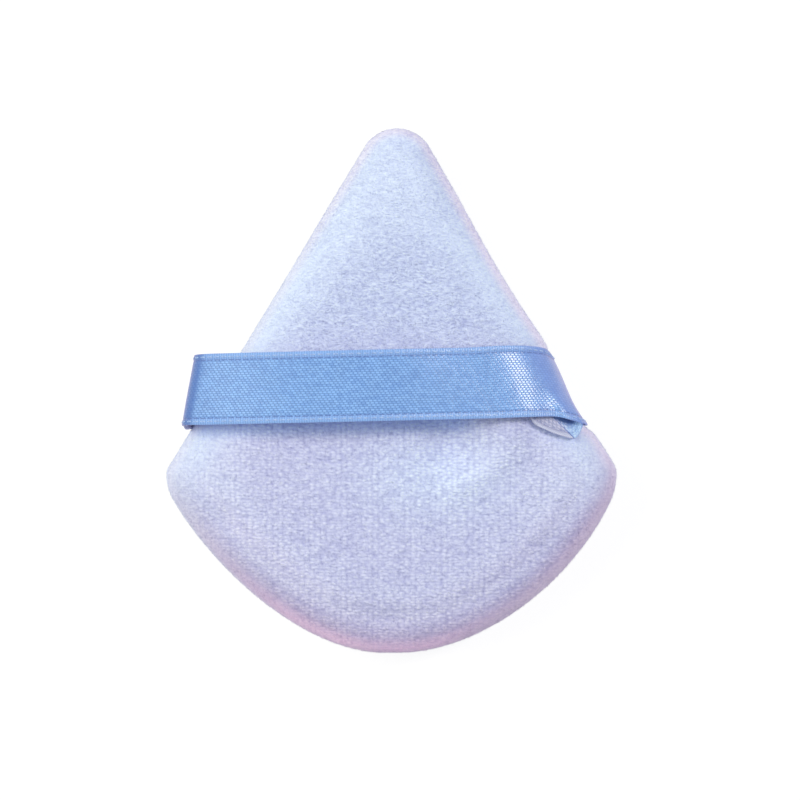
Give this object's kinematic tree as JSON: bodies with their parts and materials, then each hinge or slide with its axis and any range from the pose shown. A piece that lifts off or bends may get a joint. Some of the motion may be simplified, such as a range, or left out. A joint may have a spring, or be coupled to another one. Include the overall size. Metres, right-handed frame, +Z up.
{
  "type": "powder puff",
  "caption": "Fan-shaped velour powder puff with a foam core and a satin ribbon strap across its back, for holding it under the fingers.",
  "frame": {"origin": "on the surface that the puff lies on, under the middle of its box", "axes": "+Z up, away from the powder face and towards the strap; +Y towards the narrow end; +X along the strap"},
  "size_m": [0.0654, 0.0764, 0.0185],
  "materials": {
    "velour": "matte",
    "foam": "matte",
    "satin": "satin",
    "thread": "satin"
  },
  "bodies": {
    "pad": {"front_panel": "velour", "back_panel": "velour", "foam_core": "foam", "needle_thread": "thread", "bobbin_thread": "thread", "closing_stitch": "thread", "left_tack": "thread", "right_tack": "thread", "ribbon_left_end": "satin", "ribbon_right_end": "satin"},
    "strap": {"ribbon_span": "satin"}
  },
  "joints": [
    {"name": "strap_lift", "type": "slide", "parent": "pad", "child": "strap", "axis": [0, 0, 1], "range_m": [0, 0.008], "deforming": ["ribbon_left_end", "ribbon_right_end"]}
  ]
}
